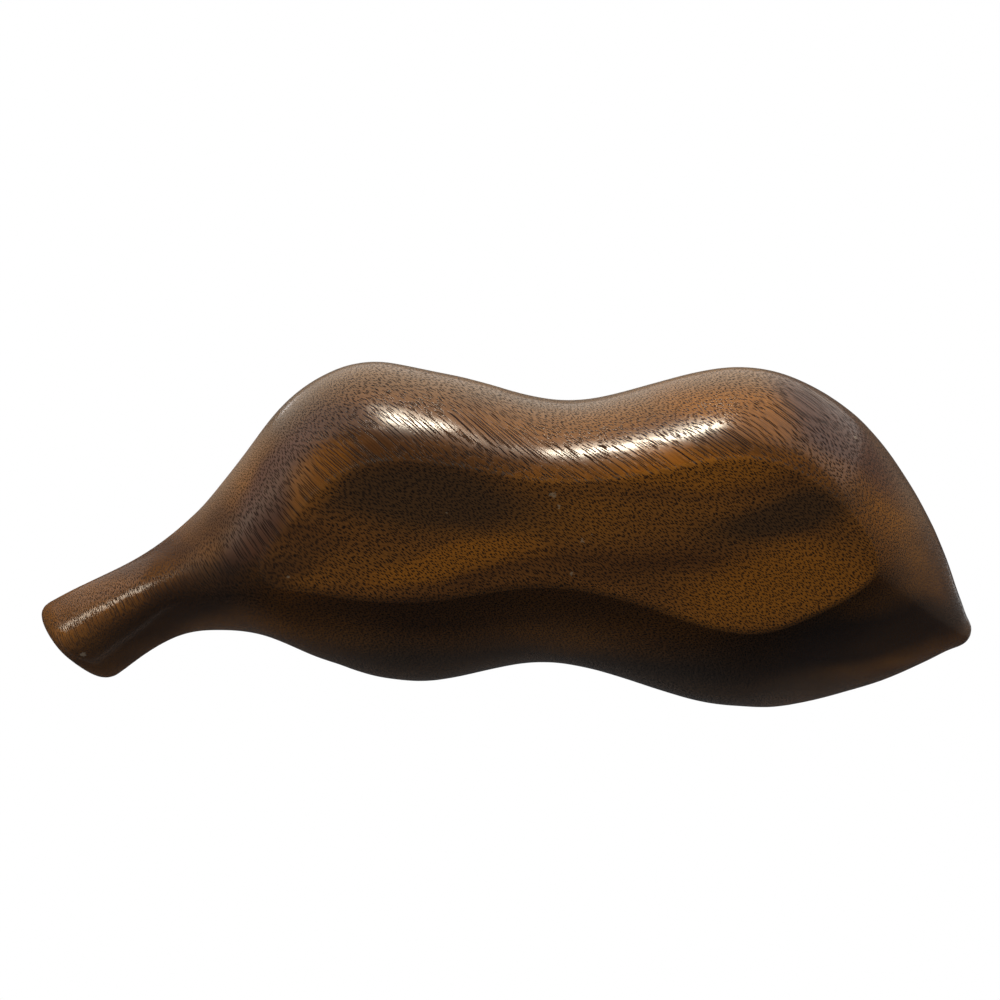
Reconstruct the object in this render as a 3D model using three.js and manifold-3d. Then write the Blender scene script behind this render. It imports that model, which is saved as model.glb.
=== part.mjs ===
// Divided serving dish, carved from one block of dark wood. A short rounded handle runs into a
// small bowl, a waist with a low divider, and a large bowl that ends in a leaf tip. The underside
// swells like a boat's hull and is cut to one flat sole.
// Millimetres, +Z up, sole on z = 0, handle toward -X, tip toward +X.
import * as THREE from "three";
import { mergeVertices } from "three/addons/utils/BufferGeometryUtils.js";
import Module from "manifold-3d";

// Lengths along the curved middle line
const HANDLE_LENGTH = 60.5;
const SMALL_LOBE_LENGTH = 121;
const LARGE_LOBE_LENGTH = 155;

// Widths of the rim's outline, square to the middle line
const HANDLE_END_WIDTH = 35;
const HANDLE_WIDTH = 30.7;
const NECK_WIDTH = 46.3;
const SMALL_LOBE_WIDTH = 112.9;
const WAIST_WIDTH = 93.2;
const LARGE_LOBE_WIDTH = 121.2;
const TIP_WIDTH = 10;

// Heights and thicknesses
const HEIGHT = 42;
const HANDLE_THICKNESS = 27;
const TIP_THICKNESS = 9;
const FLOOR_THICKNESS = 8;
const WALL_THICKNESS = 7;
const RIM_WIDTH = 8.5;
const RIM_OUTER_RADIUS = 4;
const RIM_INNER_RADIUS = 3;

// Divider between the bowls: how far its crest lies under the rim, and half the width of its foot
const DIVIDER_DROP = 5;
const DIVIDER_HALF_FOOT = 18;

// Flat sole, square to the middle line
const SOLE_SMALL_WIDTH = 45;
const SOLE_WAIST_WIDTH = 32;
const SOLE_LARGE_WIDTH = 56;
const KEEL_FLAT = 1.6;

// Where the bowls begin past the neck and end before the tip, and how long their ends take to round
const BOWL_NECK_SETBACK = 12;
const BOWL_TIP_SETBACK = 19;
const BOWL_NECK_ROUNDING = 42;
const BOWL_TIP_ROUNDING = 44;

// The handle's end is sawn askew and eased all round
const HANDLE_END_SKEW = 10;
const HANDLE_END_RADIUS = 6;
const TIP_RADIUS = 3;

// How full the curves are: 1 is straight, 2 is an ellipse
const FLANK_FULLNESS = 2;
const LEAF_FULLNESS = 1.5;
const HANDLE_FULLNESS = 1.5;
const HANDLE_CROWN_FULLNESS = 2.2;
const RIM_FULLNESS = 2;
const BOWL_FULLNESS = 2.3;

// How far to either side a drawn line is evened out
const FAIRING = 9;

// Spacing of the cross-sections, and how many steps the curves of one section take
const SECTION_SPACING = 5;
const FLANK_STEPS = 9;
const EDGE_STEPS = 4;
const RIDGE_STEPS = 7;
const TROUGH_STEPS = 14;

// Places along the middle line
const neckAt = HANDLE_LENGTH;
const waistAt = neckAt + SMALL_LOBE_LENGTH;
const tipAt = waistAt + LARGE_LOBE_LENGTH;
const onHandle = (share) => share * HANDLE_LENGTH;
const onSmallLobe = (share) => neckAt + share * SMALL_LOBE_LENGTH;
const onLargeLobe = (share) => waistAt + share * LARGE_LOBE_LENGTH;

// Direction of the middle line in degrees, positive toward +Y
const headings = [
  { at: 0, angle: -33 },
  { at: neckAt, angle: -25 },
  { at: onSmallLobe(0.25), angle: -15 },
  { at: onSmallLobe(0.5), angle: 1 },
  { at: waistAt, angle: 3 },
  { at: onLargeLobe(0.4), angle: 6 },
  { at: onLargeLobe(0.7), angle: 22 },
  { at: tipAt, angle: 30 },
];

// The rim's outline: its width, and how far its middle leans to the right (-Y) of the middle line
const rimStations = [
  { at: 0, width: HANDLE_END_WIDTH, lean: 1.8 },
  { at: onHandle(0.55), width: HANDLE_WIDTH, lean: 0.6 },
  { at: neckAt, width: NECK_WIDTH, lean: -3.2 },
  { at: onSmallLobe(0.165), width: 0.66 * SMALL_LOBE_WIDTH, lean: -5.1 },
  { at: onSmallLobe(0.33), width: 0.902 * SMALL_LOBE_WIDTH, lean: -0.2 },
  { at: onSmallLobe(0.42), width: 0.982 * SMALL_LOBE_WIDTH, lean: 2.7 },
  { at: onSmallLobe(0.5), width: SMALL_LOBE_WIDTH, lean: 1.7 },
  { at: onSmallLobe(0.64), width: 0.981 * SMALL_LOBE_WIDTH, lean: -0.4 },
  { at: waistAt, width: WAIST_WIDTH, lean: 0 },
  { at: onLargeLobe(0.42), width: LARGE_LOBE_WIDTH, lean: 3 },
  { at: onLargeLobe(0.5), width: 0.972 * LARGE_LOBE_WIDTH, lean: 1.7 },
  { at: onLargeLobe(0.6), width: 0.895 * LARGE_LOBE_WIDTH, lean: -1.6 },
  { at: onLargeLobe(0.7), width: 0.753 * LARGE_LOBE_WIDTH, lean: -5.1 },
  { at: onLargeLobe(0.895), width: 0.359 * LARGE_LOBE_WIDTH, lean: -6.8 },
  { at: tipAt, width: TIP_WIDTH, lean: -2 },
];

// Height of the hull's widest line on the bowls, and how far under the sole the hull would reach,
// if it weren't cut flat, for the flat to have a width
const widestHeight = HEIGHT - RIM_OUTER_RADIUS;
function draught(soleWidth, rimWidth) {
  const share = soleWidth / rimWidth;
  return widestHeight * ((1 - share ** FLANK_FULLNESS) ** (-1 / FLANK_FULLNESS) - 1);
}

// The keel: its height, which is under zero where the sole cuts it off, and its lean as for the rim
const handleKeel = HEIGHT - HANDLE_THICKNESS;
const tipKeel = HEIGHT - TIP_THICKNESS;
const smallDraught = draught(SOLE_SMALL_WIDTH, SMALL_LOBE_WIDTH);
const largeDraught = draught(SOLE_LARGE_WIDTH, LARGE_LOBE_WIDTH);
const keelStations = [
  { at: 0, height: handleKeel, lean: 1.6 },
  { at: onHandle(0.5), height: handleKeel, lean: 1.6 },
  { at: neckAt, height: 0.46 * handleKeel, lean: -4 },
  { at: onSmallLobe(0.11), height: 0.09 * handleKeel, lean: -6.5 },
  { at: onSmallLobe(0.19), height: 0, lean: -6.2 },
  { at: onSmallLobe(0.27), height: -0.2 * smallDraught, lean: -4.6 },
  { at: onSmallLobe(0.37), height: -0.57 * smallDraught, lean: -2 },
  { at: onSmallLobe(0.46), height: -0.9 * smallDraught, lean: 1.5 },
  { at: onSmallLobe(0.57), height: -smallDraught, lean: 4 },
  { at: waistAt, height: -draught(SOLE_WAIST_WIDTH, WAIST_WIDTH), lean: 5.5 },
  { at: onLargeLobe(0.2), height: -0.7 * largeDraught, lean: 5.5 },
  { at: onLargeLobe(0.36), height: -largeDraught, lean: 5.5 },
  { at: onLargeLobe(0.48), height: -largeDraught, lean: 5.5 },
  { at: onLargeLobe(0.56), height: -0.85 * largeDraught, lean: 6 },
  { at: onLargeLobe(0.61), height: -0.6 * largeDraught, lean: 6.4 },
  { at: onLargeLobe(0.65), height: -0.3 * largeDraught, lean: 6.4 },
  { at: onLargeLobe(0.68), height: 0, lean: 6 },
  { at: onLargeLobe(0.765), height: 0.26 * tipKeel, lean: 2 },
  { at: onLargeLobe(0.86), height: 0.53 * tipKeel, lean: -1 },
  { at: onLargeLobe(0.935), height: 0.74 * tipKeel, lean: -2 },
  { at: tipAt, height: tipKeel, lean: -2 },
];

// A smooth curve through a station list's values that never overshoots them
function along(stations, key, at) {
  const last = stations.length - 1;
  const place = THREE.MathUtils.clamp(at, stations[0].at, stations[last].at);
  let index = 0;
  while (index < last - 1 && place > stations[index + 1].at) index += 1;
  const run = (i) => stations[i + 1].at - stations[i].at;
  const rise = (i) => (stations[i + 1][key] - stations[i][key]) / run(i);
  const slope = (i) => {
    if (i === 0 || i === last || rise(i - 1) * rise(i) <= 0) return 0;
    const before = 2 * run(i) + run(i - 1);
    const after = run(i) + 2 * run(i - 1);
    return (before + after) / (before / rise(i - 1) + after / rise(i));
  };
  const length = run(index);
  const t = (place - stations[index].at) / length;
  const bump = t * t * (3 - 2 * t);
  const start = stations[index][key];
  const end = stations[index + 1][key];
  const leaving = length * slope(index) * t * (1 - t) * (1 - t);
  const arriving = length * slope(index + 1) * t * t * (1 - t);
  return start + (end - start) * bump + leaving - arriving;
}

// The same curve made fair: a weighted mean over a short stretch to either side
function faired(stations, key, at) {
  const toNearestEnd = Math.min(at - stations[0].at, stations[stations.length - 1].at - at);
  const reach = THREE.MathUtils.clamp(toNearestEnd, 0, FAIRING);
  const weights = [1, 2, 3, 2, 1];
  const total = weights.reduce((sum, weight) => sum + weight, 0);
  const shares = weights.map((weight, i) => weight * along(stations, key, at + (i / 2 - 1) * reach));
  return shares.reduce((sum, share) => sum + share, 0) / total;
}

// The middle line, walked in short steps from the handle's end
const WALK_STEP = 1;
const walk = [new THREE.Vector2(0, 0)];
for (let at = 0; at < tipAt; at += WALK_STEP) {
  const angle = THREE.MathUtils.degToRad(along(headings, "angle", at + WALK_STEP / 2));
  const stride = new THREE.Vector2(Math.cos(angle), Math.sin(angle)).multiplyScalar(WALK_STEP);
  walk.push(walk[walk.length - 1].clone().add(stride));
}

// A point in plan, given as a distance along the middle line and an offset to its right
function inPlan(at, offset) {
  const step = THREE.MathUtils.clamp(Math.floor(at / WALK_STEP), 0, walk.length - 2);
  const beyond = at / WALK_STEP - step;
  const angle = THREE.MathUtils.degToRad(along(headings, "angle", at));
  const right = new THREE.Vector2(Math.sin(angle), -Math.cos(angle));
  return walk[step].clone().lerp(walk[step + 1], beyond).addScaledVector(right, offset);
}

// One quarter of a superellipse: how far out and how far up it is at an angle from its start
function quarter(angle, fullness) {
  return {
    out: Math.sin(angle) ** (2 / fullness),
    up: 1 - Math.cos(angle) ** (2 / fullness),
  };
}

// How much an eased edge draws in at a distance from the face that it runs to
function drawIn(distance, radius) {
  if (distance >= radius) return 0;
  return radius - Math.sqrt(radius * radius - (radius - distance) ** 2);
}

// The measures of the outer body's section at one place
function hullMeasures(at) {
  const handleness = 1 - THREE.MathUtils.smoothstep(at, onHandle(0.5), onSmallLobe(0.2));
  const leafness = THREE.MathUtils.smoothstep(at, onLargeLobe(0.4), onLargeLobe(0.7));
  const lobeFullness = THREE.MathUtils.lerp(FLANK_FULLNESS, LEAF_FULLNESS, leafness);
  const lean = faired(rimStations, "lean", at);
  const halfRim = faired(rimStations, "width", at) / 2;
  const ease = drawIn(at, HANDLE_END_RADIUS) + drawIn(tipAt - at, TIP_RADIUS);
  const keel = faired(keelStations, "height", at) + ease;
  const top = HEIGHT - ease;
  const widest = THREE.MathUtils.lerp(widestHeight, HEIGHT - HANDLE_THICKNESS / 2, handleness);
  const broadest = halfRim - ease - KEEL_FLAT / 2;
  return {
    right: halfRim + lean - ease,
    left: -halfRim + lean + ease,
    keel,
    keelLean: faired(keelStations, "lean", at),
    widest: Math.max(widest, (keel + top) / 2),
    top,
    shoulder: Math.min(THREE.MathUtils.lerp(RIM_OUTER_RADIUS, broadest, handleness), broadest),
    fullness: THREE.MathUtils.lerp(lobeFullness, HANDLE_FULLNESS, handleness),
    crown: THREE.MathUtils.lerp(RIM_FULLNESS, HANDLE_CROWN_FULLNESS, handleness),
  };
}

// The outer body's section as offset and height, once round from the sole's right edge
function hullSection(at) {
  const m = hullMeasures(at);
  const depth = Math.max(-m.keel, 0);
  const cut = Math.acos((m.widest / (m.widest + depth)) ** (m.fullness / 2));
  const flankRight = [];
  const flankLeft = [];
  for (let i = 0; i <= FLANK_STEPS; i += 1) {
    const q = quarter(THREE.MathUtils.lerp(cut, Math.PI / 2, i / FLANK_STEPS), m.fullness);
    const z = i === 0 ? Math.max(m.keel, 0) : THREE.MathUtils.lerp(m.keel, m.widest, q.up);
    flankRight.push([THREE.MathUtils.lerp(m.keelLean + KEEL_FLAT / 2, m.right, q.out), z]);
    flankLeft.push([THREE.MathUtils.lerp(m.keelLean - KEEL_FLAT / 2, m.left, q.out), z]);
  }
  const edgeRight = [];
  const edgeLeft = [];
  for (let i = 1; i <= EDGE_STEPS; i += 1) {
    const q = quarter(Math.PI / 2 - (i / EDGE_STEPS) * (Math.PI / 2), m.crown);
    const z = m.top - (m.top - m.widest) * q.up;
    edgeRight.push([m.right - m.shoulder + m.shoulder * q.out, z]);
    edgeLeft.push([m.left + m.shoulder - m.shoulder * q.out, z]);
  }
  return [...flankRight, ...edgeRight, ...edgeLeft.reverse(), ...flankLeft.reverse()];
}

// The hollow's depth under the rim: both bowls and the divider's ridge between them
const hollowStart = neckAt + BOWL_NECK_SETBACK;
const hollowEnd = tipAt - BOWL_TIP_SETBACK;
const fullDepth = HEIGHT - FLOOR_THICKNESS;

function hollowRounding(at) {
  const start = Math.min((at - hollowStart) / BOWL_NECK_ROUNDING, 1);
  const end = Math.min((hollowEnd - at) / BOWL_TIP_ROUNDING, 1);
  const curve = (share) => (1 - (1 - Math.max(share, 0)) ** BOWL_FULLNESS) ** (1 / BOWL_FULLNESS);
  return curve(start) * curve(end);
}

function hollowDepth(at) {
  const fromCrest = Math.min(Math.abs(at - waistAt) / DIVIDER_HALF_FOOT, 1);
  const ridge = (fullDepth - DIVIDER_DROP) * (1 - fromCrest ** 2) ** 2;
  return fullDepth * hollowRounding(at) - ridge;
}

// Height of the hull's underside over the plane of the sole
function underside(at, offset) {
  const m = hullMeasures(at);
  const reach = offset > m.keelLean ? m.right - m.keelLean : m.keelLean - m.left;
  const share = Math.min(Math.abs(offset - m.keelLean) / reach, 1);
  const rise = 1 - (1 - share ** m.fullness) ** (1 / m.fullness);
  return Math.max(THREE.MathUtils.lerp(m.keel, m.widest, rise), 0);
}

// The bowl's height where its own curve and the wall over the underside meet in a soft bend
const BEND = 8;
function bowlHeight(at, offset, curveHeight) {
  const lengthwise = (underside(at + 1, offset) - underside(at - 1, offset)) / 2;
  const crosswise = (underside(at, offset + 1) - underside(at, offset - 1)) / 2;
  const wallTop = underside(at, offset) + WALL_THICKNESS * Math.hypot(1, lengthwise, crosswise);
  const height = (curveHeight ** BEND + wallTop ** BEND) ** (1 / BEND);
  return Math.min(height, Math.max(curveHeight, HEIGHT - RIM_INNER_RADIUS));
}

// The rim's outer edge, and the inner edge that keeps the rim as wide wherever it slants
function rimEdge(side, at) {
  return (side * faired(rimStations, "width", at)) / 2 + faired(rimStations, "lean", at);
}
function innerEdge(side, at) {
  const slant = (rimEdge(side, at + 1) - rimEdge(side, at - 1)) / 2;
  return rimEdge(side, at) - side * RIM_WIDTH * Math.hypot(1, slant);
}

// The hollow's section as offset and height: a trough, its two eased lips, and a lid over the rim
const LID = 3;
function hollowSection(at) {
  const middle = (innerEdge(1, at) + innerEdge(-1, at)) / 2;
  const full = Math.max((innerEdge(1, at) - innerEdge(-1, at)) / 2, RIM_INNER_RADIUS);
  const half = full * hollowRounding(at);
  const depth = hollowDepth(at);
  const lip = Math.min(RIM_INNER_RADIUS, depth / 3, half / 3);
  const trough = [];
  for (let i = -TROUGH_STEPS / 2; i <= TROUGH_STEPS / 2; i += 1) {
    const q = quarter((Math.abs(i) / (TROUGH_STEPS / 2)) * (Math.PI / 2), BOWL_FULLNESS);
    const offset = middle - Math.sign(i) * half * q.out;
    const curveHeight = THREE.MathUtils.lerp(HEIGHT - depth, HEIGHT - lip, q.up);
    trough.push([offset, bowlHeight(at, offset, curveHeight)]);
  }
  const lipRight = [];
  const lipLeft = [];
  for (let i = 1; i <= EDGE_STEPS; i += 1) {
    const q = quarter((i / EDGE_STEPS) * (Math.PI / 2), RIM_FULLNESS);
    const z = HEIGHT - lip + lip * q.out;
    lipRight.push([middle + half + lip * q.up, z]);
    lipLeft.push([middle - half - lip * q.up, z]);
  }
  const right = [[middle + half + lip, HEIGHT + LID], ...lipRight.reverse()];
  const left = [...lipLeft, [middle - half - lip, HEIGHT + LID]];
  return [...right, ...trough, ...left].reverse();
}

// Places for the sections: evenly along, closer where an end rounds off, and at chosen places
const CLOSE_SHARES = [0.05, 0.18, 0.38, 0.65];
const LEAST_SPACING = 0.15;
function sectionPlaces(start, end, extras = []) {
  const places = [];
  const count = Math.ceil((end - start) / SECTION_SPACING);
  for (let i = 0; i <= count; i += 1) places.push(THREE.MathUtils.lerp(start, end, i / count));
  for (const share of CLOSE_SHARES) {
    places.push(start + share * SECTION_SPACING, end - share * SECTION_SPACING);
  }
  places.push(...extras);
  places.sort((a, b) => a - b);
  return places.filter((at, i) => i === 0 || at - places[i - 1] > LEAST_SPACING);
}

// A closed skin over sections that all have as many points, with a flat or pointed cap at each end
function loft(places, section, toPoint, startCap, endCap) {
  const positions = [];
  const faces = [];
  const rings = places.map((at) => section(at).map(([offset, z]) => toPoint(at, offset, z)));
  const around = rings[0].length;
  rings.forEach((ring) => ring.forEach((point) => positions.push(...point.toArray())));
  for (let i = 0; i < rings.length - 1; i += 1) {
    for (let j = 0; j < around; j += 1) {
      const a = i * around + j;
      const b = i * around + ((j + 1) % around);
      faces.push(a, a + around, b, b, a + around, b + around);
    }
  }
  const middleOf = (ring) => {
    const sum = ring.reduce((total, point) => total.add(point), new THREE.Vector3());
    return sum.divideScalar(around);
  };
  const startTip = middleOf(rings[0]).add(startCap);
  const endTip = middleOf(rings[rings.length - 1]).add(endCap);
  const startIndex = positions.length / 3;
  positions.push(...startTip.toArray(), ...endTip.toArray());
  const lastRing = (rings.length - 1) * around;
  for (let j = 0; j < around; j += 1) {
    const next = (j + 1) % around;
    faces.push(startIndex, j, next);
    faces.push(startIndex + 1, lastRing + next, lastRing + j);
  }
  const geometry = new THREE.BufferGeometry();
  geometry.setAttribute("position", new THREE.Float32BufferAttribute(positions, 3));
  geometry.setIndex(faces);
  return geometry;
}

// The handle's end leans by its skew, which fades out along the handle
const skewFade = (at) => 1 - THREE.MathUtils.smoothstep(at, 0, onHandle(0.6));
function hullPoint(at, offset, z) {
  const slip = Math.tan(THREE.MathUtils.degToRad(HANDLE_END_SKEW)) * offset * skewFade(at);
  const tangent = THREE.MathUtils.degToRad(along(headings, "angle", at));
  const plan = inPlan(at, offset);
  return new THREE.Vector3(plan.x - slip * Math.cos(tangent), plan.y - slip * Math.sin(tangent), z);
}
function hollowPoint(at, offset, z) {
  const plan = inPlan(at, offset);
  return new THREE.Vector3(plan.x, plan.y, z);
}

const hullPlaces = sectionPlaces(0, tipAt);
const hull = loft(hullPlaces, hullSection, hullPoint, new THREE.Vector3(), new THREE.Vector3());

const ridgePlaces = [];
for (let share = -1; share <= 1; share += 1 / RIDGE_STEPS) {
  ridgePlaces.push(waistAt + share * DIVIDER_HALF_FOOT);
}
const hollowPlaces = sectionPlaces(hollowStart, hollowEnd, ridgePlaces).slice(1, -1);
const lidTop = new THREE.Vector3(0, 0, LID / 2);
const hollow = loft(hollowPlaces, hollowSection, hollowPoint, lidTop, lidTop);

// Carve the hollow out of the block
const WELD_DISTANCE = 1e-5;
const wasm = await Module();
wasm.setup();

function toSolid(geometry) {
  const merged = mergeVertices(geometry, WELD_DISTANCE);
  const vertProperties = new Float32Array(merged.attributes.position.array);
  const triVerts = new Uint32Array(merged.index.array);
  return new wasm.Manifold(new wasm.Mesh({ numProp: 3, vertProperties, triVerts }));
}

function toGeometry(solid) {
  const mesh = solid.getMesh();
  const geometry = new THREE.BufferGeometry();
  geometry.setAttribute("position", new THREE.Float32BufferAttribute(mesh.vertProperties, 3));
  geometry.setIndex([...mesh.triVerts]);
  return geometry;
}

const carved = toGeometry(toSolid(hull).subtract(toSolid(hollow)));

// Stand the dish with the middle of its outline over the origin
carved.computeBoundingBox();
const middle = carved.boundingBox.getCenter(new THREE.Vector3());
carved.translate(-middle.x, -middle.y, -carved.boundingBox.min.z);
carved.computeVertexNormals();

const darkWood = new THREE.MeshStandardMaterial({ color: "#5a2e14", roughness: 0.35, metalness: 0 });
const dish = new THREE.Mesh(carved, darkWood);
dish.name = "carved_dish";

const servingDish = new THREE.Group();
servingDish.add(dish);

export default servingDish;
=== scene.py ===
from math import cos, pi, radians, sin

import bpy
import numpy as np
from mathutils import Matrix, Vector, noise


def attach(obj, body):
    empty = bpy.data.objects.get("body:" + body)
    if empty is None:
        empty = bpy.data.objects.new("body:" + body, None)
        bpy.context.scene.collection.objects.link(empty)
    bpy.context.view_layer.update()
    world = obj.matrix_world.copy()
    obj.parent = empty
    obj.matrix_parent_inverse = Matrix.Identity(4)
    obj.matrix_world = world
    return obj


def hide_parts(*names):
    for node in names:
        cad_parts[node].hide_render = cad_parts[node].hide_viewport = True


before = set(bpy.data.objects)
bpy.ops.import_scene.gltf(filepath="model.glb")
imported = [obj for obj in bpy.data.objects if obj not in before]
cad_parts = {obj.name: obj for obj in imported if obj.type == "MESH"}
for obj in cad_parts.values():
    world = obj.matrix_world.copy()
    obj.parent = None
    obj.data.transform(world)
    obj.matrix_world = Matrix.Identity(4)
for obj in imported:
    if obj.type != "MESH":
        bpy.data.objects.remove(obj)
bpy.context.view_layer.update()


# Camera
# It looks up at the underside from about 45 cm below the sole, a few degrees off square,
# through a 50 mm lens, with the handle at the left of the picture.
MM = 0.001
CAMERA_DISTANCE = 498.826 * MM
CAMERA_TILT = 5.241
CAMERA_LEAN = 1.035
scene = bpy.context.scene
scene.view_settings.view_transform = "Standard"
looked_at = Vector((-3.016, -12.39, 42)) * MM
turn = Matrix.Rotation(radians(180 - CAMERA_TILT), 4, "X") @ Matrix.Rotation(radians(CAMERA_LEAN), 4, "Y")
camera_place = looked_at + turn.to_3x3() @ Vector((0, 0, CAMERA_DISTANCE))
camera_data = bpy.data.cameras.new("camera")
camera_data.lens = 50
camera_data.sensor_width = 36
camera_data.clip_start = 0.01
camera = bpy.data.objects.new("camera", camera_data)
camera.matrix_world = Matrix.Translation(camera_place) @ turn
scene.collection.objects.link(camera)
scene.camera = camera


# Table top
# A matt white sheet just under the sole, pure white far off. It is clear from below, so that
# the underside stays in view and the lamps reach it. Reflections in the lacquer pass through
# it too where they are short or nearly level.
TABLE_HALF = 4
TABLE_HEIGHT = 0.5 * MM
TABLE_TONE = 0.86
TABLE_TONE_UNSEEN = 0.35
WHITE_FROM = 0.35
WHITE_BY = 1.2
SHORT_REFLECTION = 40 * MM
NEARLY_LEVEL = 0.72


class Nodes:
    """The shader nodes of one material, or of the air, with short ways to add to them."""

    def __init__(self, owner):
        owner.use_nodes = True
        self.tree = owner.node_tree
        self.tree.nodes.clear()

    def add(self, kind, inputs=None, **settings):
        """A new node. Each input is linked to a socket or set to a plain value."""
        node = self.tree.nodes.new(kind)
        for key, value in settings.items():
            setattr(node, key, value)
        for key, value in (inputs or {}).items():
            if isinstance(value, bpy.types.NodeSocket):
                self.tree.links.new(value, node.inputs[key])
            else:
                node.inputs[key].default_value = value
        return node

    def math(self, kind, first, second=0.0):
        return self.add("ShaderNodeMath", {0: first, 1: second}, operation=kind).outputs[0]

    def vector_math(self, kind, first, second=(0, 0, 0), result="Vector"):
        node = self.add("ShaderNodeVectorMath", {0: first, 1: second}, operation=kind)
        return node.outputs[result]

    def band(self, value, low, high, start=0.0, end=1.0):
        """A smooth change from start to end while the value goes from low to high."""
        node = self.add(
            "ShaderNodeMapRange",
            {"Value": value, "From Min": low, "From Max": high, "To Min": start, "To Max": end},
            interpolation_type="SMOOTHSTEP",
        )
        return node.outputs["Result"]


def flat_sheet(name, corners, material):
    mesh = bpy.data.meshes.new(name)
    mesh.from_pydata(corners, [], [(0, 1, 2, 3)])
    mesh.materials.append(material)
    sheet = bpy.data.objects.new(name, mesh)
    scene.collection.objects.link(sheet)
    return sheet


def level_corners(left, right, near, far, height):
    return [(left, near, height), (right, near, height), (right, far, height), (left, far, height)]


white_table = bpy.data.materials.new("white_table")
table = Nodes(white_table)
light_ray = table.add("ShaderNodeLightPath").outputs
from_below = table.add("ShaderNodeNewGeometry").outputs["Backfacing"]
slant = table.add("ShaderNodeLayerWeight", {"Blend": 0.5}).outputs["Facing"]
short = table.math("LESS_THAN", light_ray["Ray Length"], SHORT_REFLECTION)
nearly_level = table.math("GREATER_THAN", slant, NEARLY_LEVEL)
short_or_level = table.math("MAXIMUM", short, nearly_level)
reflection_passes = table.math("MULTIPLY", light_ray["Is Glossy Ray"], short_or_level)
always_passes = table.math("MAXIMUM", from_below, light_ray["Is Shadow Ray"])
clear = table.math("MAXIMUM", always_passes, reflection_passes)

table_place = table.add("ShaderNodeTexCoord").outputs["Object"]
from_dish = table.vector_math("LENGTH", table_place, result="Value")
far_off = table.band(from_dish, WHITE_FROM, WHITE_BY)
whitened = table.math("MULTIPLY", far_off, light_ray["Is Camera Ray"])
table_tone = table.band(light_ray["Is Camera Ray"], 0.0, 1.0, TABLE_TONE_UNSEEN, TABLE_TONE)
matt = table.add("ShaderNodeBsdfDiffuse", {"Color": table_tone})
white = table.add("ShaderNodeEmission", {"Color": (1, 1, 1, 1), "Strength": 1.0})
see_through = table.add("ShaderNodeBsdfTransparent")
top = table.add("ShaderNodeMixShader", {0: whitened, 1: matt.outputs[0], 2: white.outputs[0]})
surface = table.add("ShaderNodeMixShader", {0: clear, 1: top.outputs[0], 2: see_through.outputs[0]})
table.add("ShaderNodeOutputMaterial", {"Surface": surface.outputs[0]})
table_corners = level_corners(-TABLE_HALF, TABLE_HALF, -TABLE_HALF, TABLE_HALF, TABLE_HEIGHT)
flat_sheet("table_top", table_corners, white_table)


# Cloths and cards round the dish
# They are hidden from the camera and only show in the lacquer: white card on the near side,
# grey card beyond the leaf tip, dark cloth below, behind, overhead and past the handle.
SIDE_REACH = 2
NEAR = -0.7
BEHIND = 0.6
PAST_TIP = 1.2
PAST_HANDLE = -0.8
BELOW = -0.8
OVERHEAD = 1.3
CLOTH_UNDER_FROM = -1.2
CLOTH_LEFT_FROM = -0.5


def even_tone(name, tone):
    made = bpy.data.materials.new(name)
    nodes = Nodes(made)
    glow = nodes.add("ShaderNodeEmission", {"Color": (*tone, 1), "Strength": 1.0})
    nodes.add("ShaderNodeOutputMaterial", {"Surface": glow.outputs[0]})
    return made


def upright_corners(start, end, low, high):
    """Corners of an upright sheet that stands on the line from start to end in plan."""
    return [(*start, low), (*end, low), (*end, high), (*start, high)]


white_card = even_tone("white_card", (0.95, 0.93, 0.88))
grey_card = even_tone("grey_card", (0.2, 0.18, 0.16))
dark_cloth = even_tone("dark_cloth", (0.05, 0.055, 0.06))
near_corners = upright_corners((-SIDE_REACH, NEAR), (SIDE_REACH, NEAR), 0, OVERHEAD)
right_corners = upright_corners((PAST_TIP, NEAR), (PAST_TIP, BEHIND), BELOW, OVERHEAD)
left_corners = upright_corners((PAST_HANDLE, CLOTH_LEFT_FROM), (PAST_HANDLE, BEHIND), BELOW, OVERHEAD)
behind_corners = upright_corners((-SIDE_REACH, BEHIND), (SIDE_REACH, BEHIND), BELOW, OVERHEAD)
under_corners = level_corners(-SIDE_REACH, SIDE_REACH, CLOTH_UNDER_FROM, BEHIND, BELOW)
over_corners = level_corners(-SIDE_REACH, SIDE_REACH, NEAR, BEHIND, OVERHEAD)
round_the_dish = [
    ("card_near", white_card, near_corners),
    ("card_right", grey_card, right_corners),
    ("cloth_under", dark_cloth, under_corners),
    ("cloth_over", dark_cloth, over_corners),
    ("cloth_behind", dark_cloth, behind_corners),
    ("cloth_left", dark_cloth, left_corners),
]
for name, material, corners in round_the_dish:
    sheet = flat_sheet(name, corners, material)
    sheet.visible_camera = False
    sheet.visible_diffuse = False
    sheet.visible_shadow = False
    sheet.visible_transmission = False


# Carved dish, its outer body
# One block of dark wood, carved by hand. A short round handle runs into a small and a large
# lobe with a waist between them, and the large lobe ends in a leaf tip.
HANDLE_LENGTH = 60.5
SMALL_LOBE_LENGTH = 121
LARGE_LOBE_LENGTH = 155
HEIGHT = 42
HANDLE_THICKNESS = 27
TIP_THICKNESS = 9
SMALL_LOBE_WIDTH = 112.9
WAIST_WIDTH = 93.2
LARGE_LOBE_WIDTH = 121.2
SOLE_SMALL_WIDTH = 45
SOLE_WAIST_WIDTH = 32
SOLE_LARGE_WIDTH = 56
KEEL_FLAT = 1.6
RIM_OUTER_RADIUS = 4
FLANK_FULLNESS = 2
LEAF_FULLNESS = 1.5
HANDLE_FULLNESS = 1.5
HANDLE_CROWN_FULLNESS = 2.2
RIM_FULLNESS = 2
FAIRING = 9
HANDLE_END_RADIUS = 6
TIP_RADIUS = 3
HANDLE_END_SKEW = radians(10)

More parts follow.
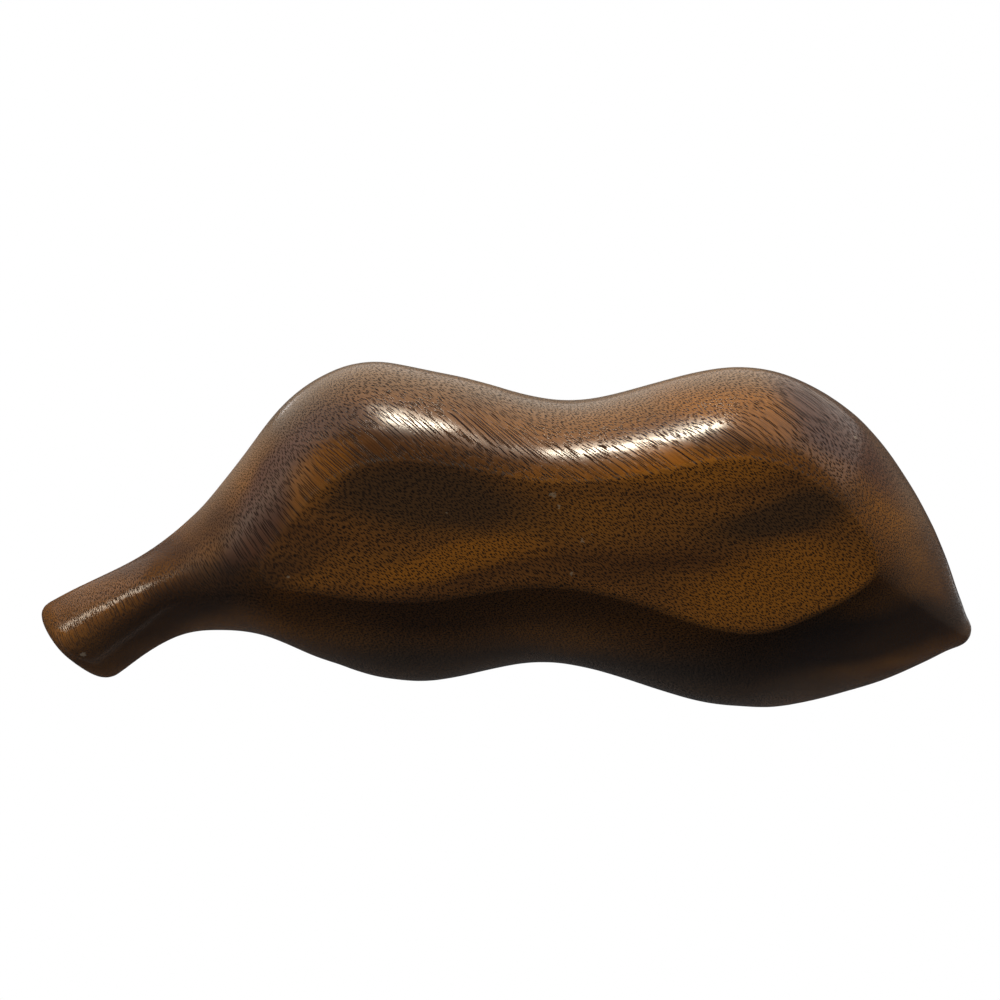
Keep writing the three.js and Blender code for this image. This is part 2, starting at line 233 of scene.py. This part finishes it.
neck_at = HANDLE_LENGTH
waist_at = neck_at + SMALL_LOBE_LENGTH
tip_at = waist_at + LARGE_LOBE_LENGTH


def on_handle(share):
    return share * HANDLE_LENGTH


def on_small(share):
    return neck_at + share * SMALL_LOBE_LENGTH


def on_large(share):
    return waist_at + share * LARGE_LOBE_LENGTH


def along(stations, at):
    """A smooth curve through (place, value) stations that never overshoots them."""
    places = np.array([place for place, value in stations], float)
    values = np.array([value for place, value in stations], float)
    run = np.diff(places)
    rise = np.diff(values) / run
    before = 2 * run[1:] + run[:-1]
    after = run[1:] + 2 * run[:-1]
    turns = rise[:-1] * rise[1:] <= 0
    safe_left = np.where(turns, 1, rise[:-1])
    safe_right = np.where(turns, 1, rise[1:])
    inner = np.where(turns, 0, (before + after) / (before / safe_left + after / safe_right))
    slope = np.concatenate([[0], inner, [0]])
    at = np.clip(at, places[0], places[-1])
    i = np.clip(np.searchsorted(places, at, side="left") - 1, 0, len(run) - 1)
    t = (at - places[i]) / run[i]
    bump = t * t * (3 - 2 * t)
    leaving = run[i] * slope[i] * t * (1 - t) ** 2
    arriving = run[i] * slope[i + 1] * t * t * (1 - t)
    return values[i] + (values[i + 1] - values[i]) * bump + leaving - arriving


def faired(stations, at):
    """The same curve, evened out over a short stretch to either side."""
    to_nearest_end = np.minimum(at - stations[0][0], stations[-1][0] - at)
    reach = np.clip(to_nearest_end, 0, FAIRING)
    weights = (1, 2, 3, 2, 1)
    total = sum(weight * along(stations, at + (i / 2 - 1) * reach) for i, weight in enumerate(weights))
    return total / sum(weights)


# Each station is a place along the middle line, in mm, and a value there. First come the
# middle line's headings, in degrees.
headings = [
    (0, -33), (neck_at, -25), (on_small(0.25), -15), (on_small(0.5), 1),
    (waist_at, 3), (on_large(0.4), 6), (on_large(0.7), 22), (tip_at, 30),
]
# Width over the rim
rim_width = [
    (0, 35), (on_handle(0.55), 30.7), (neck_at, 46.3), (on_small(0.165), 0.66 * SMALL_LOBE_WIDTH),
    (on_small(0.33), 0.902 * SMALL_LOBE_WIDTH), (on_small(0.42), 0.982 * SMALL_LOBE_WIDTH),
    (on_small(0.5), SMALL_LOBE_WIDTH), (on_small(0.64), 0.981 * SMALL_LOBE_WIDTH), (waist_at, WAIST_WIDTH),
    (on_large(0.42), LARGE_LOBE_WIDTH), (on_large(0.5), 0.972 * LARGE_LOBE_WIDTH),
    (on_large(0.6), 0.895 * LARGE_LOBE_WIDTH), (on_large(0.7), 0.753 * LARGE_LOBE_WIDTH),
    (on_large(0.895), 0.359 * LARGE_LOBE_WIDTH), (tip_at, 10),
]
# How far the rim's middle lies to the right of the middle line
rim_lean = [
    (0, 1.8), (on_handle(0.55), 0.6), (neck_at, -3.2), (on_small(0.165), -5.1), (on_small(0.33), -0.2),
    (on_small(0.42), 2.7), (on_small(0.5), 1.7), (on_small(0.64), -0.4), (waist_at, 0), (on_large(0.42), 3),
    (on_large(0.5), 1.7), (on_large(0.6), -1.6), (on_large(0.7), -5.1), (on_large(0.895), -6.8), (tip_at, -2),
]
widest_height = HEIGHT - RIM_OUTER_RADIUS


def draught(sole_width, whole_width):
    """How far under the sole the hull would reach if it weren't cut flat."""
    share = sole_width / whole_width
    return widest_height * ((1 - share ** FLANK_FULLNESS) ** (-1 / FLANK_FULLNESS) - 1)


handle_keel = HEIGHT - HANDLE_THICKNESS
tip_keel = HEIGHT - TIP_THICKNESS
small_draught = draught(SOLE_SMALL_WIDTH, SMALL_LOBE_WIDTH)
waist_draught = draught(SOLE_WAIST_WIDTH, WAIST_WIDTH)
large_draught = draught(SOLE_LARGE_WIDTH, LARGE_LOBE_WIDTH)
# Height of the keel over the sole. Where it is below 0, the body is cut flat.
keel_height = [
    (0, handle_keel), (on_handle(0.5), handle_keel), (neck_at, 0.46 * handle_keel),
    (on_small(0.11), 0.09 * handle_keel), (on_small(0.19), 0), (on_small(0.27), -0.2 * small_draught),
    (on_small(0.37), -0.57 * small_draught), (on_small(0.46), -0.9 * small_draught),
    (on_small(0.57), -small_draught), (waist_at, -waist_draught), (on_large(0.2), -0.7 * large_draught),
    (on_large(0.36), -large_draught), (on_large(0.48), -large_draught),
    (on_large(0.56), -0.85 * large_draught), (on_large(0.61), -0.6 * large_draught),
    (on_large(0.65), -0.3 * large_draught), (on_large(0.68), 0), (on_large(0.765), 0.26 * tip_keel),
    (on_large(0.86), 0.53 * tip_keel), (on_large(0.935), 0.74 * tip_keel), (tip_at, tip_keel),
]
# How far the keel lies to the right of the middle line
keel_lean = [
    (0, 1.6), (on_handle(0.5), 1.6), (neck_at, -4), (on_small(0.11), -6.5), (on_small(0.19), -6.2),
    (on_small(0.27), -4.6), (on_small(0.37), -2), (on_small(0.46), 1.5), (on_small(0.57), 4),
    (waist_at, 5.5), (on_large(0.2), 5.5), (on_large(0.36), 5.5), (on_large(0.48), 5.5),
    (on_large(0.56), 6), (on_large(0.61), 6.4), (on_large(0.65), 6.4), (on_large(0.68), 6),
    (on_large(0.765), 2), (on_large(0.86), -1), (on_large(0.935), -2), (tip_at, -2),
]

WALK_STEP = 0.5
walk_at = np.arange(0, tip_at + WALK_STEP, WALK_STEP)
walk_angle = np.radians(along(headings, walk_at[:-1] + WALK_STEP / 2))
walk_x = np.concatenate([[0], np.cumsum(np.cos(walk_angle) * WALK_STEP)])
walk_y = np.concatenate([[0], np.cumsum(np.sin(walk_angle) * WALK_STEP)])


def in_plan(at, offset, slip=0):
    """The plan position of a point at an offset to the right of the middle line."""
    angle = np.radians(along(headings, at))
    x = np.interp(at, walk_at, walk_x) + np.sin(angle) * offset - slip * np.cos(angle)
    y = np.interp(at, walk_at, walk_y) - np.cos(angle) * offset - slip * np.sin(angle)
    return x, y


def mix(a, b, share):
    return a + (b - a) * share


def smooth_step(value, low, high):
    t = np.clip((value - low) / (high - low), 0, 1)
    return t * t * (3 - 2 * t)


def quarter(angle, fullness):
    """How far out and up a superellipse's quarter is at an angle from its start."""
    return np.sin(angle) ** (2 / fullness), 1 - np.cos(angle) ** (2 / fullness)


def draw_in(distance, radius):
    """How far a rounded end of this radius pulls the body in, at a distance from the end."""
    short = np.clip(radius - distance, 0, radius)
    return np.where(distance >= radius, 0, radius - np.sqrt(radius * radius - short ** 2))


def hull_measures(at):
    handleness = 1 - smooth_step(at, on_handle(0.5), on_small(0.2))
    leafness = smooth_step(at, on_large(0.4), on_large(0.7))
    lean = faired(rim_lean, at)
    half_rim = faired(rim_width, at) / 2
    ease = draw_in(at, HANDLE_END_RADIUS) + draw_in(tip_at - at, TIP_RADIUS)
    keel = faired(keel_height, at) + ease
    top = HEIGHT - ease
    broadest = half_rim - ease - KEEL_FLAT / 2
    return {
        "right": half_rim + lean - ease,
        "left": lean + ease - half_rim,
        "keel": keel,
        "keel_lean": faired(keel_lean, at),
        "widest": np.maximum(mix(widest_height, HEIGHT - HANDLE_THICKNESS / 2, handleness), (keel + top) / 2),
        "top": top,
        "shoulder": np.minimum(mix(RIM_OUTER_RADIUS, broadest, handleness), broadest),
        "fullness": mix(mix(FLANK_FULLNESS, LEAF_FULLNESS, leafness), HANDLE_FULLNESS, handleness),
        "crown": mix(RIM_FULLNESS, HANDLE_CROWN_FULLNESS, handleness),
    }


FLANK_STEPS = 26
EDGE_STEPS = 8


def hull_sections(at):
    """Rows of (offset, height) for the cross-sections at the places in the column at."""
    m = hull_measures(at)
    depth = np.maximum(-m["keel"], 0)
    cut = np.arccos((m["widest"] / (m["widest"] + depth)) ** (m["fullness"] / 2))
    steps = np.linspace(0, 1, FLANK_STEPS + 1)[None, :]
    out, up = quarter(mix(cut, pi / 2, steps), m["fullness"])
    flank_z = mix(m["keel"], m["widest"], up)
    flank_z[:, :1] = np.maximum(m["keel"], 0)
    flank_right = mix(m["keel_lean"] + KEEL_FLAT / 2, m["right"], out)
    flank_left = mix(m["keel_lean"] - KEEL_FLAT / 2, m["left"], out)
    steps = np.linspace(1, 0, EDGE_STEPS + 1)[None, 1:]
    out, up = quarter(steps * pi / 2, m["crown"])
    edge_z = m["top"] - (m["top"] - m["widest"]) * up
    edge_right = m["right"] - m["shoulder"] + m["shoulder"] * out
    edge_left = m["left"] + m["shoulder"] - m["shoulder"] * out
    offset = np.hstack([flank_right, edge_right, edge_left[:, ::-1], flank_left[:, ::-1]])
    height = np.hstack([flank_z, edge_z, edge_z[:, ::-1], flank_z[:, ::-1]])
    return offset, height


SECTION_SPACING = 1.5
SHARES_NEAR_END = (0.02, 0.08, 0.2, 0.4, 0.65)
REACH_NEAR_END = 4
CLOSEST_SECTIONS = 0.05


def section_places(start, end):
    """Places of the cross-sections, which lie closer together near both ends."""
    places = list(np.linspace(start, end, int((end - start) / SECTION_SPACING) + 1))
    for share in SHARES_NEAR_END:
        places += [start + share * REACH_NEAR_END, end - share * REACH_NEAR_END]
    places = np.unique(np.round(places, 3))
    return places[np.concatenate([[True], np.diff(places) > CLOSEST_SECTIONS])]


def skinned(name, x, y, z, cap_lift=0):
    """A closed skin over rows of section points, in metres, with a point in the middle of each end."""
    rows, around = x.shape
    points = np.stack([x, y, z], axis=-1) * MM
    ends = [points[0].mean(axis=0), points[-1].mean(axis=0)]
    for end in ends:
        end[2] += cap_lift * MM
    corners = [tuple(point) for point in points.reshape(-1, 3)] + [tuple(end) for end in ends]
    faces = []
    for i in range(rows - 1):
        for j in range(around):
            k = (j + 1) % around
            faces.append((i * around + j, (i + 1) * around + j, (i + 1) * around + k, i * around + k))
    last = (rows - 1) * around
    for j in range(around):
        k = (j + 1) % around
        faces.append((rows * around, j, k))
        faces.append((rows * around + 1, last + k, last + j))
    mesh = bpy.data.meshes.new(name)
    mesh.from_pydata(corners, [], faces)
    return mesh


at = section_places(0, tip_at)[:, None]
offset, height = hull_sections(at)
slip = np.tan(HANDLE_END_SKEW) * offset * (1 - smooth_step(at, 0, on_handle(0.6)))
hull_x, hull_y = in_plan(at, offset, slip)
middle_x = (hull_x.min() + hull_x.max()) / 2
middle_y = (hull_y.min() + hull_y.max()) / 2
dish_mesh = skinned("carved_dish_wood", hull_x - middle_x, hull_y - middle_y, height)
dish = bpy.data.objects.new("carved_dish_wood", dish_mesh)
scene.collection.objects.link(dish)


# Carved dish, its two bowls
# Both are scooped out of the top with a gouge and sanded smooth. They follow the outline at
# the width of the rim, and a low rounded divider is left standing at the waist.
FLOOR_THICKNESS = 8
WALL_THICKNESS = 7
RIM_WIDTH = 8.5
RIM_INNER_RADIUS = 3
DIVIDER_DROP = 5
DIVIDER_HALF_FOOT = 18
BOWL_NECK_SETBACK = 12
BOWL_TIP_SETBACK = 19
BOWL_NECK_ROUNDING = 42
BOWL_TIP_ROUNDING = 44
BOWL_FULLNESS = 2.3
BEND = 8
LID = 3
hollow_start = neck_at + BOWL_NECK_SETBACK
hollow_end = tip_at - BOWL_TIP_SETBACK
full_depth = HEIGHT - FLOOR_THICKNESS


def hollow_rounding(at):
    """Share of their full width and depth that the bowls have at a place."""
    start = np.clip((at - hollow_start) / BOWL_NECK_ROUNDING, 0, 1)
    end = np.clip((hollow_end - at) / BOWL_TIP_ROUNDING, 0, 1)
    round_start = (1 - (1 - start) ** BOWL_FULLNESS) ** (1 / BOWL_FULLNESS)
    round_end = (1 - (1 - end) ** BOWL_FULLNESS) ** (1 / BOWL_FULLNESS)
    return round_start * round_end


def hollow_depth(at):
    """Depth below the rim, less over the divider."""
    from_crest = np.minimum(np.abs(at - waist_at) / DIVIDER_HALF_FOOT, 1)
    ridge = (full_depth - DIVIDER_DROP) * (1 - from_crest ** 2) ** 2
    return full_depth * hollow_rounding(at) - ridge


def underside(at, offset):
    """Height of the hull's underside over the plane of the sole."""
    m = hull_measures(at)
    from_keel = offset - m["keel_lean"]
    reach = np.where(from_keel > 0, m["right"] - m["keel_lean"], m["keel_lean"] - m["left"])
    share = np.minimum(np.abs(from_keel) / reach, 1)
    rise = 1 - (1 - share ** m["fullness"]) ** (1 / m["fullness"])
    return np.maximum(mix(m["keel"], m["widest"], rise), 0)


def bowl_height(at, offset, curve_height):
    """The bowl's own curve, bent up softly where the wall over the underside would get thin."""
    lengthwise = (underside(at + 1, offset) - underside(at - 1, offset)) / 2
    crosswise = (underside(at, offset + 1) - underside(at, offset - 1)) / 2
    wall_top = underside(at, offset) + WALL_THICKNESS * np.sqrt(1 + lengthwise ** 2 + crosswise ** 2)
    height = (curve_height ** BEND + wall_top ** BEND) ** (1 / BEND)
    return np.minimum(height, np.maximum(curve_height, HEIGHT - RIM_INNER_RADIUS))


def rim_edge(side, at):
    return side * faired(rim_width, at) / 2 + faired(rim_lean, at)


def inner_edge(side, at):
    """Where the rim ends and the bowl starts, 1 for the right side and -1 for the left."""
    slant = (rim_edge(side, at + 1) - rim_edge(side, at - 1)) / 2
    return rim_edge(side, at) - side * RIM_WIDTH * np.hypot(1, slant)


TROUGH_STEPS = 56


def hollow_sections(at):
    middle = (inner_edge(1, at) + inner_edge(-1, at)) / 2
    full = np.maximum((inner_edge(1, at) - inner_edge(-1, at)) / 2, RIM_INNER_RADIUS)
    half = full * hollow_rounding(at)
    depth = hollow_depth(at)
    lip = np.minimum(RIM_INNER_RADIUS, np.minimum(depth, half) / 3)
    steps = np.linspace(-1, 1, TROUGH_STEPS + 1)[None, :]
    out, up = quarter(np.abs(steps) * pi / 2, BOWL_FULLNESS)
    trough = middle - np.sign(steps) * half * out
    trough_z = bowl_height(at, trough, mix(HEIGHT - depth, HEIGHT - lip, up))
    steps = np.linspace(0, 1, EDGE_STEPS + 1)[None, 1:]
    out, up = quarter(steps * pi / 2, RIM_FULLNESS)
    lip_z = HEIGHT - lip + lip * out
    lip_right = middle + half + lip * up
    lip_left = middle - half - lip * up
    over = np.full_like(middle, HEIGHT + LID)
    offset = np.hstack([middle + half + lip, lip_right[:, ::-1], trough, lip_left, middle - half - lip])
    height = np.hstack([over, lip_z[:, ::-1], trough_z, lip_z, over])
    return offset[:, ::-1], height[:, ::-1]


at = section_places(hollow_start, hollow_end)[1:-1, None]
offset, height = hollow_sections(at)
hollow_x, hollow_y = in_plan(at, offset)
hollow_mesh = skinned("bowls", hollow_x - middle_x, hollow_y - middle_y, height, cap_lift=LID / 2)
bowls = bpy.data.objects.new("bowls", hollow_mesh)
scene.collection.objects.link(bowls)


def apply_modifier(kind, **settings):
    modifier = dish.modifiers.new(kind, kind)
    for key, value in settings.items():
        setattr(modifier, key, value)
    worked = bpy.data.meshes.new_from_object(dish.evaluated_get(bpy.context.evaluated_depsgraph_get()))
    dish.modifiers.clear()
    dish.data = worked
    dish.data.name = "carved_dish_wood"


apply_modifier("BOOLEAN", object=bowls, operation="DIFFERENCE", solver="EXACT")
bpy.data.objects.remove(bowls)


# Carved dish, its surface
# The whole dish is rasped and sanded by hand, which breaks its edges a little and leaves a
# slight unevenness that the lacquer shows.
UNEVENNESS = 0.22 * MM
BROAD_SWELLS_PER_METRE = 38
SMALL_SWELLS_PER_METRE = 90
apply_modifier("REMESH", mode="VOXEL", voxel_size=0.8 * MM)
apply_modifier("SMOOTH", factor=0.5, iterations=8)


def vertex_values(kind):
    values = np.empty(len(dish.data.vertices) * 3)
    dish.data.vertices.foreach_get(kind, values)
    return values.reshape(-1, 3)


def swell(point):
    broad = noise.noise(point * BROAD_SWELLS_PER_METRE)
    small = noise.noise(point * SMALL_SWELLS_PER_METRE)
    return broad + 0.5 * small


points = vertex_values("co")
normals = vertex_values("normal")
swells = np.array([swell(Vector(point)) for point in points])
away_from_sole = smooth_step(points[:, 2], 0.2 * MM, 4 * MM)
away_from_top = 1 - smooth_step(points[:, 2], (HEIGHT - 4) * MM, (HEIGHT - 1) * MM)
points = points + normals * (swells * away_from_sole * away_from_top * UNEVENNESS)[:, None]
dish.data.vertices.foreach_set("co", points.ravel())
dish.data.update()
dish.data.shade_smooth()
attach(dish, "root")
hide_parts("carved_dish")


# Lacquered wood
# Brown open-pored hardwood. Its fibre crosses the dish, so the pores are short dashes on the
# sole and long lines where a flank runs along the fibre. A thin lacquer leaves the pores open.
lacquered_wood = bpy.data.materials.new("lacquered_wood")
wood = Nodes(lacquered_wood)
place = wood.add("ShaderNodeTexCoord").outputs["Object"]


def dot(vector, axis):
    return wood.vector_math("DOT_PRODUCT", vector, axis, "Value")


def added(first, second):
    return wood.vector_math("ADD", first, second)


def scaled(vector, factor):
    node = wood.add("ShaderNodeVectorMath", {0: vector, "Scale": factor}, operation="SCALE")
    return node.outputs["Vector"]


def blended(share, first, second):
    """One colour over another, by the share of the second."""
    return wood.add("ShaderNodeMix", {0: share, 6: first, 7: second}, data_type="RGBA").outputs[2]


def noise_offset(scale, reach):
    """A vector that wanders smoothly with place, at most half of reach each way."""
    wandering = wood.add("ShaderNodeTexNoise", {"Vector": place, "Scale": scale, "Detail": 1.0})
    centred = wood.vector_math("SUBTRACT", wandering.outputs["Color"], (0.5, 0.5, 0.5))
    return scaled(centred, reach)


# The fibre wanders a little, and bends more and more toward the handle.
FIBRE_BENDS_FROM = -50 * MM
FIBRE_BEND = 6.0
grown = added(place, noise_offset(scale=14.0, reach=9 * MM))
wavy = added(grown, noise_offset(scale=330.0, reach=0.22 * MM))
toward_handle = wood.math("MINIMUM", wood.math("SUBTRACT", dot(place, (1, 0, 0)), FIBRE_BENDS_FROM), 0.0)
bent = wood.math("MULTIPLY", wood.math("MULTIPLY", toward_handle, toward_handle), FIBRE_BEND)
wavy = added(wavy, wood.add("ShaderNodeCombineXYZ", {1: bent}).outputs[0])
fibre = Vector((0.74, 0.56, -0.33)).normalized()
across_fibre = fibre.cross(Vector((1, 0, 0))).normalized()
square_to_both = fibre.cross(across_fibre).normalized()

# Pores are tubes along the fibre, and fine lines of lighter and darker fibre lie between them.
PORE_SPACING = 0.6 * MM
PORE_CORE = 0.19
PORE_EDGE = 0.37
FINE_LINES_PER_PORE = (2.1, 1.3, 0.0)
FINE_LINE_EDGES = (0.34, 0.62)
FINE_LINE_SHADES = (0.72, 1.02)
pore_row = wood.math("DIVIDE", dot(wavy, across_fibre), PORE_SPACING)
pore_column = wood.math("DIVIDE", dot(wavy, square_to_both), PORE_SPACING)
pore_place = wood.add("ShaderNodeCombineXYZ", {0: pore_row, 1: pore_column}).outputs[0]
pore_cells = wood.add(
    "ShaderNodeTexVoronoi",
    {"Vector": pore_place, "Scale": 1.0, "Randomness": 0.85},
    feature="F1",
    voronoi_dimensions="2D",
)
pores = wood.band(pore_cells.outputs["Distance"], PORE_CORE, PORE_EDGE, 1.0, 0.0)
fine_place = wood.vector_math("MULTIPLY", pore_place, FINE_LINES_PER_PORE)
fine_grain = wood.add(
    "ShaderNodeTexNoise",
    {"Vector": fine_place, "Scale": 1.0, "Detail": 1.0},
    noise_dimensions="2D",
)
fine_lines = wood.band(fine_grain.outputs["Fac"], *FINE_LINE_EDGES)

# Broad streaks of figure run along the dish. The upper near flank is blended toward a paler tan, partly the
# wood's own tone and partly painted sheen on the side that faces the lamps.
STREAKS_PER_METRE = (9.0, 42.0, 30.0)
TAN_AND_SHEEN_STRENGTH = 0.5
TAN_AND_SHEEN_HEIGHTS = (8 * MM, 26 * MM)
TAN_AND_SHEEN_FADES_OVER = (-25 * MM, 5 * MM)
dark_streak = (0.12, 0.048, 0.014)
middle_streak = (0.24, 0.098, 0.022)
light_streak = (0.36, 0.145, 0.022)
# The tan stands partly for the wood and partly for painted sheen on the flank toward the lamps.
tan = (0.4, 0.285, 0.18)
streak_place = wood.vector_math("MULTIPLY", grown, STREAKS_PER_METRE)
streaks = wood.add("ShaderNodeTexNoise", {"Vector": streak_place, "Scale": 1.0, "Detail": 3.0})
figure = wood.add("ShaderNodeValToRGB", {"Fac": streaks.outputs["Fac"]})
dark_end, light_end = figure.color_ramp.elements
dark_end.position = 0.34
dark_end.color = (*dark_streak, 1)
light_end.position = 0.68
light_end.color = (*light_streak, 1)
figure.color_ramp.elements.new(0.5).color = (*middle_streak, 1)
height_up = dot(place, (0, 0, 1))
up_the_flank = wood.band(height_up, *TAN_AND_SHEEN_HEIGHTS)
lit_near_side = wood.band(dot(place, (0, 1, 0)), *TAN_AND_SHEEN_FADES_OVER, TAN_AND_SHEEN_STRENGTH, 0.0)
# Painted sheen, in part: the near side's upper flank, which faces the lamps, is made paler and greyer.
toned = blended(wood.math("MULTIPLY", up_the_flank, lit_near_side), figure.outputs["Color"], (*tan, 1))

# Zones of darker and more golden wood, and of painted shade on the far side, are soft ellipses in plan. Each
# has its tone, strength, centre in mm, reach along and across in mm, and angle in degrees.
ZONE_CORE = 0.5
ZONE_EDGE = 1.35
gold = (0.46, 0.175, 0.018)
umber = (0.085, 0.045, 0.02)
plum = (0.12, 0.052, 0.036)
# The next two tones are painted shade for the side that faces away from the lamps, not wood.
painted_shade_grey = (0.046, 0.041, 0.035)
painted_shade_dark = (0.026, 0.015, 0.012)
zones = [
    (gold, 0.8, (-18, 5), (30, 5.5), -14),
    (gold, 0.8, (90, 13), (34, 13), -8),
    (gold, 0.7, (61, -27), (30, 7), -4),
    (gold, 0.6, (78, -46), (24, 7), 12),
    (umber, 0.9, (-26, -16), (44, 12), 4),
    (umber, 0.9, (92, -11), (26, 8), -10),
    (gold, 0.35, (-64, -24), (15, 7), -55),
    (plum, 0.8, (-80, -14), (34, 6), -66),
    (plum, 0.9, (114, -36), (30, 9), 42),
    # Painted shade: the last three zones darken the far flank and rim, and the far sides of the neck and leaf
    # end.
    (painted_shade_grey, 0.8, (10, 48), (130, 17), 2),
    (painted_shade_dark, 0.8, (125, 31), (50, 10), -10),
    (painted_shade_dark, 0.75, (-108, 22), (50, 11), -26),
]
warped = added(place, noise_offset(scale=26.0, reach=16 * MM))


def share_of_reach(axis, middle, reach):
    """Distance from a zone's middle along an axis, as a share of the zone's reach."""
    return wood.math("DIVIDE", wood.math("SUBTRACT", dot(warped, axis), middle.dot(axis)), reach * MM)


for tone, strength, centre, reach, angle in zones:
    middle = Vector((*centre, 0)) * MM
    lengthwise = share_of_reach(Vector((cos(radians(angle)), sin(radians(angle)), 0)), middle, reach[0])
    crosswise = share_of_reach(Vector((-sin(radians(angle)), cos(radians(angle)), 0)), middle, reach[1])
    squares = wood.math("ADD", wood.math("POWER", lengthwise, 2.0), wood.math("POWER", crosswise, 2.0))
    share = wood.band(wood.math("SQRT", squares), ZONE_CORE, ZONE_EDGE, 1.0, 0.0)
    toned = blended(wood.math("MULTIPLY", share, strength), toned, (*tone, 1))

PORE_STRENGTH = 0.95
pore_tone = (0.008, 0.003, 0.002)
lined = scaled(toned, wood.band(fine_lines, 0.0, 1.0, *FINE_LINE_SHADES))
coloured = blended(wood.math("MULTIPLY", pores, PORE_STRENGTH), lined, (*pore_tone, 1))

# Small pale nicks on the underside. Each has its place and its reach in mm.
NICK_STRENGTH = 0.5
NICKS_END_AT = (20 * MM, 26 * MM)
nick_tone = (0.42, 0.34, 0.25)
nick_places = [
    (15, -18, 1.2), (17, -14, 0.6), (25, -3, 0.9), (28, -5, 0.5), (21.5, 8, 0.7),
    (-72, 9.5, 0.6), (-147, 39, 1.1), (118, -36, 0.6), (113, 17, 0.5), (-20, -12, 0.4),
]
ragged = added(place, noise_offset(scale=900.0, reach=2.6 * MM))
ragged_plan = wood.vector_math("MULTIPLY", ragged, (1, 1, 0))
nicks = 0.0
for x, y, reach in nick_places:
    away = wood.vector_math("DISTANCE", ragged_plan, Vector((x, y, 0)) * MM, "Value")
    nick = wood.band(away, 0.5 * reach * MM, reach * MM, NICK_STRENGTH, 0.0)
    nicks = wood.math("MAXIMUM", nicks, nick)
underneath = wood.band(height_up, *NICKS_END_AT, 1.0, 0.0)
coloured = blended(wood.math("MULTIPLY", nicks, underneath), coloured, (*nick_tone, 1))

# The lacquer is worn dull on the shoulder beside the handle, and fills the pores on the sole.
LACQUER_ROUGHNESS = 0.17
WORN_ROUGHNESS = 0.42
FILLED_PORE_ROUGHNESS = 0.3
OPEN_PORE_ROUGHNESS = 1.0
WORN_PLACE_REACH = (20 * MM, 40 * MM)
PORES_OPEN_OVER = (0.1 * MM, 0.8 * MM)
shoulder = Vector((-86, -10, 14)) * MM
from_shoulder = wood.vector_math("DISTANCE", place, shoulder, "Value")
between_pores = wood.band(from_shoulder, *WORN_PLACE_REACH, WORN_ROUGHNESS, LACQUER_ROUGHNESS)
in_pores = wood.band(height_up, *PORES_OPEN_OVER, FILLED_PORE_ROUGHNESS, OPEN_PORE_ROUGHNESS)
pore_bump = wood.add(
    "ShaderNodeBump",
    {"Height": wood.math("SUBTRACT", 1.0, pores), "Strength": 0.35, "Distance": 0.1 * MM},
)
shader = wood.add(
    "ShaderNodeBsdfPrincipled",
    {
        "Base Color": coloured,
        "Roughness": wood.band(pores, 0.0, 0.7, between_pores, in_pores),
        "IOR": 1.5,
        "Normal": pore_bump.outputs[0],
    },
)
wood.add("ShaderNodeOutputMaterial", {"Surface": shader.outputs[0]})
dish.data.materials.clear()
dish.data.materials.append(lacquered_wood)


# Lamps and air
# Two warm soft lamps shine on the underside from low on the near side, and a small one does so
# from past the handle's end. Two large white lamps overhead light the bowls and the table top.
# The air is pure white to the camera and in reflections, and a weak light that is stronger above.
WARM = (1, 0.9, 0.72)
WHITE = (1, 1, 1)
AIR_FROM_BELOW = 0.08
AIR_FROM_ABOVE = 0.45
LEVEL_BAND = 0.3


def soft_lamp(name, direction, distance, width, depth, power, tint):
    lamp_data = bpy.data.lights.new(name, "AREA")
    lamp_data.color = tint
    lamp_data.shape = "RECTANGLE"
    lamp_data.size = width
    lamp_data.size_y = depth
    lamp_data.energy = power
    lamp = bpy.data.objects.new(name, lamp_data)
    toward = Vector(direction).normalized()
    lamp.location = toward * distance
    lamp.rotation_mode = "QUATERNION"
    lamp.rotation_quaternion = toward.to_track_quat("Z", "Y")
    scene.collection.objects.link(lamp)


soft_lamp(
    "window_under",
    direction=(-0.012, -0.971, -0.385), distance=1.04, width=0.25, depth=0.12, power=5.4, tint=WARM,
)
soft_lamp(
    "window_beside",
    direction=(-0.09, -0.99, -0.25), distance=1.03, width=0.3, depth=0.07, power=0.8, tint=WARM,
)
soft_lamp(
    "fill_handle_end",
    direction=(-0.386, -0.162, -0.151), distance=0.445, width=0.1, depth=0.06, power=0.18, tint=WARM,
)
soft_lamp(
    "window_over",
    direction=(-0.25, -0.4, 1.0), distance=1.6, width=1.2, depth=0.9, power=14, tint=WHITE,
)
soft_lamp(
    "fill_over",
    direction=(0.5, 0.35, 1.0), distance=1.6, width=1.4, depth=1.4, power=6, tint=WHITE,
)

world = bpy.data.worlds.new("air")
scene.world = world
air = Nodes(world)
light_ray = air.add("ShaderNodeLightPath").outputs
camera_or_glossy = air.math("MAXIMUM", light_ray["Is Camera Ray"], light_ray["Is Glossy Ray"])
seen = air.math("MAXIMUM", camera_or_glossy, light_ray["Is Transmission Ray"])
direction = air.add("ShaderNodeTexCoord").outputs["Generated"]
upward = air.add("ShaderNodeSeparateXYZ", {0: direction}).outputs["Z"]
as_light = air.add(
    "ShaderNodeMapRange",
    {
        "Value": upward,
        "From Min": -LEVEL_BAND,
        "From Max": LEVEL_BAND,
        "To Min": AIR_FROM_BELOW,
        "To Max": AIR_FROM_ABOVE,
    },
)
strength = air.add("ShaderNodeMapRange", {"Value": seen, "To Min": as_light.outputs[0], "To Max": 1.0})
white_air = air.add("ShaderNodeBackground", {"Color": (1, 1, 1, 1), "Strength": strength.outputs[0]})
air.add("ShaderNodeOutputWorld", {"Surface": white_air.outputs[0]})
